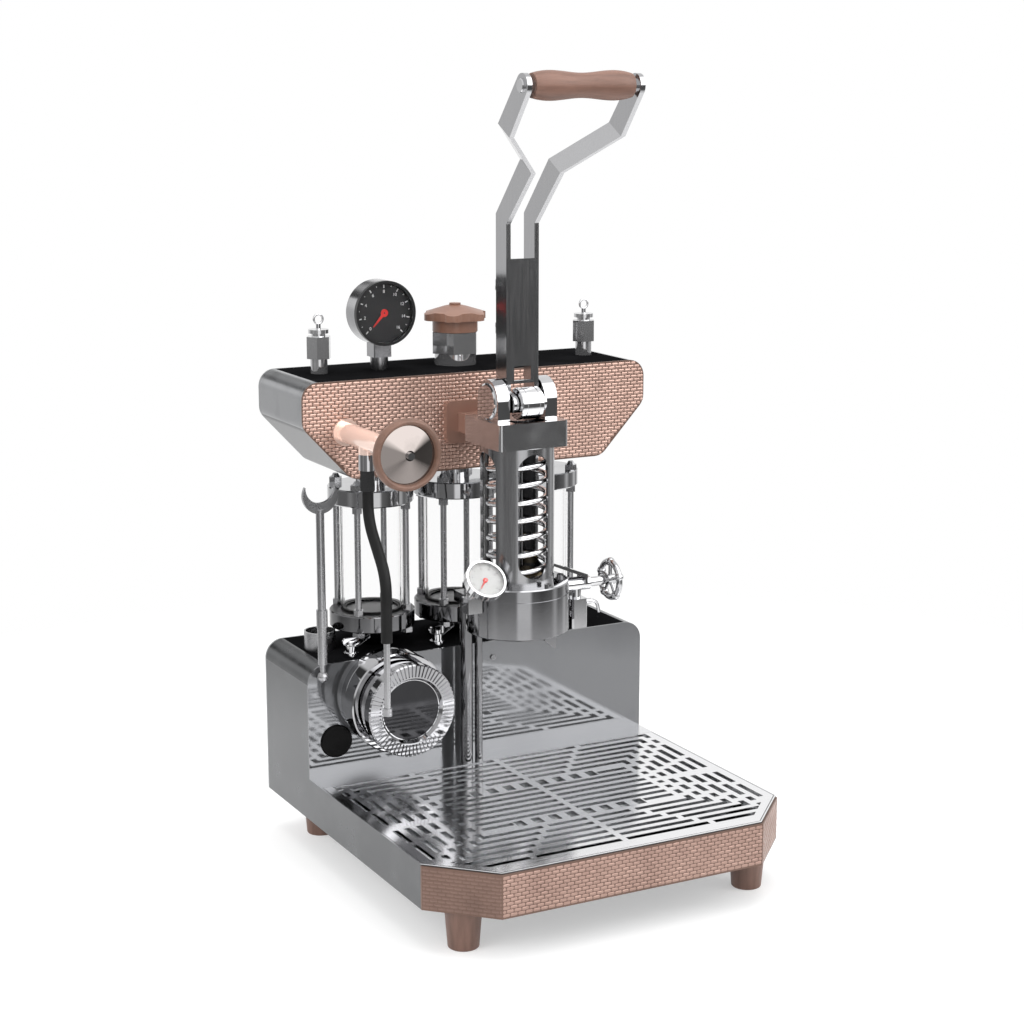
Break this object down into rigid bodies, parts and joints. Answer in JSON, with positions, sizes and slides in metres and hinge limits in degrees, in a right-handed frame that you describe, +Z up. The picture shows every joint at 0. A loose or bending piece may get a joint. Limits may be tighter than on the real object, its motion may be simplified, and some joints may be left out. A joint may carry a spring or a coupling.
{
  "type": "manual espresso maker",
  "caption": "Manual espresso maker with a spring lever group, slotted drip tray, glass columns, steam wand and pressure gauges.",
  "frame": {"origin": "on the table, below the middle of the machine's outline", "axes": "+Z up, +X to the user's right, -Y towards the user"},
  "size_m": [0.365, 0.4004, 0.7261],
  "materials": {
    "brushed_shell": "brushed",
    "mirror_steel": "polished",
    "machined_steel": "fine turned",
    "chromed_steel": "polished",
    "tank_steel": "satin",
    "grey_sheet": "satin",
    "black_sheet": "gloss",
    "rose_weave": "embossed weave, satin",
    "rose_cap": "satin",
    "brown_wood": "oiled",
    "clear_glass": "clear",
    "black_rubber": "matte",
    "black_plastic": "gloss",
    "dial_faces": "matte print",
    "red_pointer": "matte",
    "mirror_disc": "mirror",
    "white_roller": "satin",
    "spring_wire": "polished",
    "piston_brass": "turned"
  },
  "bodies": {
    "frame": {"base_shell": "brushed_shell", "woven_panels": "rose_weave", "feet": "brown_wood", "tower_front_panel": "mirror_steel", "top_plates": "black_sheet", "rear_covers": "grey_sheet", "upper_shell": "brushed_shell", "water_tanks": "tank_steel", "tank_fittings": "tank_steel", "column_flanges": "chromed_steel", "tie_rods": "chromed_steel", "glasses": "clear_glass", "rubber_rings": "black_rubber", "tap_bodies": "chromed_steel", "tower_cup": "chromed_steel", "fork_post": "chromed_steel", "group_head": "machined_steel", "spring_cylinder": "machined_steel", "bell": "chromed_steel", "cheeks": "chromed_steel", "pivot_studs": "chromed_steel", "shower_screen": "brushed_shell", "support_posts": "chromed_steel", "gauge_case": "machined_steel", "small_gauge_case": "chromed_steel", "gauge_dials": "dial_faces", "safety_valves": "chromed_steel", "vent_valve": "chromed_steel", "fill_neck": "chromed_steel", "steam_valve": "chromed_steel", "side_valve": "chromed_steel", "hatch_collar": "chromed_steel", "hatch_disc": "mirror_disc", "switch_body": "black_plastic", "screws": "chromed_steel", "spring": "spring_wire"},
    "lever": {"lever_fork": "machined_steel", "lever_grip": "brown_wood", "lever_pins": "chromed_steel"},
    "roller": {"lever_roller": "white_roller"},
    "rod": {"spring_rod": "machined_steel", "piston": "piston_brass", "piston_seals": "black_rubber"},
    "steam_wheel": {"steam_wheel": "mirror_steel", "steam_wheel_rim": "brown_wood"},
    "wand": {"wand_tube": "chromed_steel", "wand_sleeve": "black_rubber"},
    "side_wheel": {"side_wheel": "chromed_steel"},
    "gauge_pointer": {"gauge_pointer": "red_pointer"},
    "small_gauge_pointer": {"small_gauge_pointer": "red_pointer"},
    "fill_cap": {"fill_cap": "rose_cap"},
    "tap_handle_left": {"tap_handle_left": "chromed_steel"},
    "tap_handle_middle": {"tap_handle_middle": "chromed_steel"},
    "tap_handle_right": {"tap_handle_right": "chromed_steel"},
    "valve_ring_left": {"valve_ring_left": "chromed_steel"},
    "valve_ring_right": {"valve_ring_right": "chromed_steel"},
    "lock_ring": {"lock_ring": "chromed_steel"},
    "power_button": {"power_button": "black_plastic"},
    "drip_pan": {"drip_pan": "brushed_shell"},
    "grille": {"grille": "machined_steel"}
  },
  "joints": [
    {"name": "lever_pivot", "type": "hinge", "parent": "frame", "child": "lever", "pos_m": [0, 0.018, 0.434], "axis": [1, 0, 0], "range_deg": [0, 70]},
    {"name": "roller_spin", "type": "hinge", "parent": "lever", "child": "roller", "pos_m": [0, 0, 0.433], "axis": [1, 0, 0], "continuous": true},
    {"name": "rod_slide", "type": "slide", "parent": "frame", "child": "rod", "axis": [0, 0, -1], "range_m": [0, 0.0175], "stiffness_N_per_m": 8000, "springref_m": -0.02, "deforming": ["spring"]},
    {"name": "steam_wheel_turn", "type": "hinge", "parent": "frame", "child": "steam_wheel", "pos_m": [-0.138, -0.04, 0.4035], "axis": [0, -1, 0], "range_deg": [0, 270]},
    {"name": "wand_swivel", "type": "hinge", "parent": "frame", "child": "wand", "pos_m": [-0.138, 0.044, 0.35], "axis": [0, 0, 1], "range_deg": [-60, 20]},
    {"name": "side_wheel_turn", "type": "hinge", "parent": "frame", "child": "side_wheel", "pos_m": [0.1, 0.018, 0.2545], "axis": [1, 0, 0], "range_deg": [0, 270]},
    {"name": "gauge_needle", "type": "hinge", "parent": "frame", "child": "gauge_pointer", "pos_m": [-0.0783, 0.135, 0.505], "axis": [0, 1, 0], "range_deg": [0, 270], "stiffness_Nm_per_rad": 0.002},
    {"name": "small_gauge_needle", "type": "hinge", "parent": "frame", "child": "small_gauge_pointer", "pos_m": [-0.051, -0.01655, 0.27779], "axis": [0, 0.7431, -0.6691], "range_deg": [0, 270], "stiffness_Nm_per_rad": 0.001},
    {"name": "cap_lift", "type": "slide", "parent": "frame", "child": "fill_cap", "axis": [0, 0, 1], "range_m": [0, 0.03]},
    {"name": "tap_left", "type": "hinge", "parent": "frame", "child": "tap_handle_left", "pos_m": [-0.13, 0.106, 0.2], "axis": [0, 0, 1], "range_deg": [0, 90]},
    {"name": "tap_middle", "type": "hinge", "parent": "frame", "child": "tap_handle_middle", "pos_m": [-0.04, 0.106, 0.2], "axis": [0, 0, 1], "range_deg": [0, 90]},
    {"name": "tap_right", "type": "hinge", "parent": "frame", "child": "tap_handle_right", "pos_m": [0.05, 0.106, 0.2], "axis": [0, 0, 1], "range_deg": [0, 90]},
    {"name": "ring_lift_left", "type": "slide", "parent": "frame", "child": "valve_ring_left", "axis": [0, 0, 1], "range_m": [0, 0.003], "stiffness_N_per_m": 500, "springref_m": -0.002},
    {"name": "ring_lift_right", "type": "slide", "parent": "frame", "child": "valve_ring_right", "axis": [0, 0, 1], "range_m": [0, 0.003], "stiffness_N_per_m": 500, "springref_m": -0.002},
    {"name": "lock_turn", "type": "hinge", "parent": "frame", "child": "lock_ring", "pos_m": [-0.102, 0.035, 0.15], "axis": [0, 1, 0], "range_deg": [0, 60]},
    {"name": "button_press", "type": "slide", "parent": "frame", "child": "power_button", "axis": [0, 1, 0], "range_m": [0, 0.002], "stiffness_N_per_m": 800, "springref_m": -0.002},
    {"name": "pan_lift", "type": "slide", "parent": "frame", "child": "drip_pan", "axis": [0, 0, 1], "range_m": [0, 0.012]},
    {"name": "grille_lift", "type": "slide", "parent": "drip_pan", "child": "grille", "axis": [0, 0, 1], "range_m": [0, 0.012]}
  ],
  "couplings": [
    {"joint": "rod_slide", "follows": "lever_pivot", "m_per_rad": 0.0143}
  ]
}
